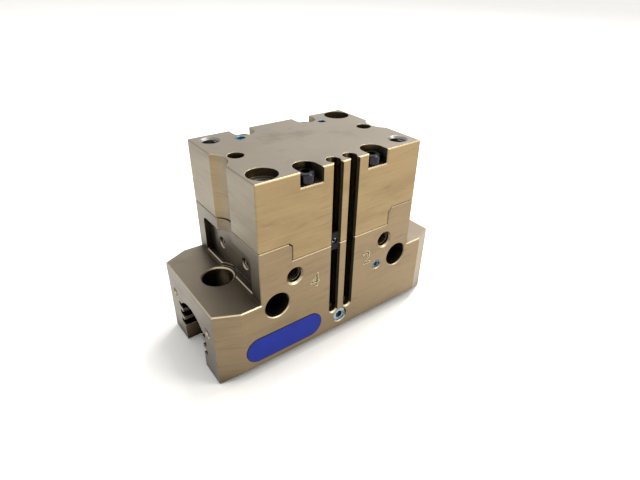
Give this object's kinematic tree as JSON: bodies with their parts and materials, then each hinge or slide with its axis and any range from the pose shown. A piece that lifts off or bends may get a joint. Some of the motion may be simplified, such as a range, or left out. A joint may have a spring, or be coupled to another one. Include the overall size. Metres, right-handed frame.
{
  "type": "pneumatic parallel gripper",
  "caption": "Compact pneumatic parallel gripper with toothed jaw guides, a wedge-hook drive, spring-assisted closing and switch slots.",
  "frame": {"origin": "middle of the footprint on the plane of the finger faces, jaws closed", "axes": "+X the way the right jaw opens, -Y towards the air ports, +Z towards the mounting face"},
  "size_m": [0.0896, 0.042, 0.066],
  "materials": {
    "anodised": "hard-anodised, champagne bronze, fine milling marks",
    "tool_steel": "ground hardened steel",
    "piston_metal": "plain machined aluminium",
    "black_steel": "black oxide",
    "zinc_steel": "bright zinc plating",
    "locked_plug": "zinc plating under blue thread sealant",
    "pin_steel": "ground dowel steel",
    "spring_steel": "oil-tempered spring steel",
    "magnet": "nickel-plated magnet",
    "seal_rubber": "black nitrile rubber",
    "stop_plastic": "black moulded plastic"
  },
  "bodies": {
    "gripper_body": {"housing": "anodised", "spring_cover": "anodised", "cover_screw_front_left": "black_steel", "cover_screw_front_right": "black_steel", "cover_screw_back_left": "black_steel", "cover_screw_back_right": "black_steel", "grease_screw": "zinc_steel", "slot_stop_screw": "zinc_steel", "air_plug_left": "locked_plug", "air_plug_right": "locked_plug", "duct_plug": "locked_plug", "cover_dowel_left": "pin_steel", "cover_dowel_right": "pin_steel", "closing_spring_left": "spring_steel", "closing_spring_right": "spring_steel", "rod_seal": "seal_rubber", "cover_seal": "seal_rubber", "slot_stop": "stop_plastic"},
    "piston_unit": {"wedge_hook": "tool_steel", "piston": "piston_metal", "piston_bolt": "black_steel", "piston_seal_lower": "seal_rubber", "piston_seal_upper": "seal_rubber", "piston_magnet_left": "magnet", "piston_magnet_right": "magnet"},
    "jaw_left": {"base_jaw_left": "tool_steel"},
    "jaw_right": {"base_jaw_right": "tool_steel"}
  },
  "joints": [
    {"name": "piston_slide", "type": "slide", "parent": "gripper_body", "child": "piston_unit", "axis": [0, 0, 1], "range_m": [0, 0.006], "stiffness_N_per_m": 60, "springref_m": -0.01, "deforming": ["closing_spring_left", "closing_spring_right"]},
    {"name": "jaw_left_slide", "type": "slide", "parent": "gripper_body", "child": "jaw_left", "axis": [-1, 0, 0], "range_m": [0, 0.006]},
    {"name": "jaw_right_slide", "type": "slide", "parent": "gripper_body", "child": "jaw_right", "axis": [1, 0, 0], "range_m": [0, 0.006]}
  ],
  "couplings": [
    {"joint": "jaw_left_slide", "follows": "piston_slide", "ratio": 1},
    {"joint": "jaw_right_slide", "follows": "piston_slide", "ratio": 1}
  ]
}
